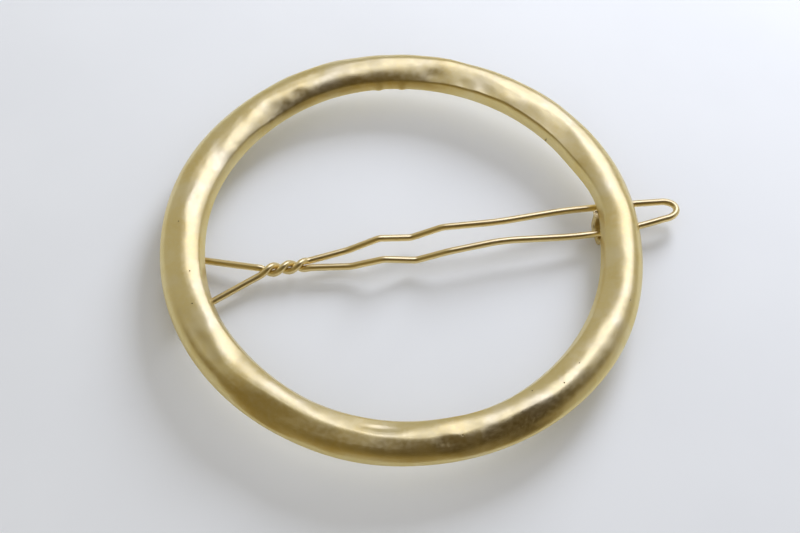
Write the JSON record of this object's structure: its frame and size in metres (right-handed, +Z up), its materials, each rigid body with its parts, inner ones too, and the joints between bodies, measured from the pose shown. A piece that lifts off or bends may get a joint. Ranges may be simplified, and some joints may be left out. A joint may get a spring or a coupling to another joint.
{
  "type": "hairpin",
  "caption": "Round open hair clip: a hammered satin gold ring with a hinged, twisted and crimped wire pin across its back, held by a small hook.",
  "frame": {"origin": "on the surface the clip lies on, under the middle of its length and width", "axes": "+X from the hinge to the catch along the pin, +Y across the pin, +Z up out of the ring's face"},
  "size_m": [0.0616, 0.0559, 0.0049],
  "materials": {
    "satin_gold": "satin gold plate over a softly hammered casting",
    "lug_gold": "satin gold plate",
    "catch_gold": "satin gold plate",
    "wire_gold": "smooth gold plated spring wire"
  },
  "bodies": {
    "clip": {"ring_frame": "satin_gold", "hinge_lug": "lug_gold", "catch_hook": "catch_gold"},
    "pin": {"wire_pin": "wire_gold"}
  },
  "joints": [
    {"name": "pin_swing", "type": "hinge", "parent": "clip", "child": "pin", "pos_m": [-0.02819, 0, 0.00075], "axis": [0, 1, 0], "range_deg": [0, 218]}
  ]
}
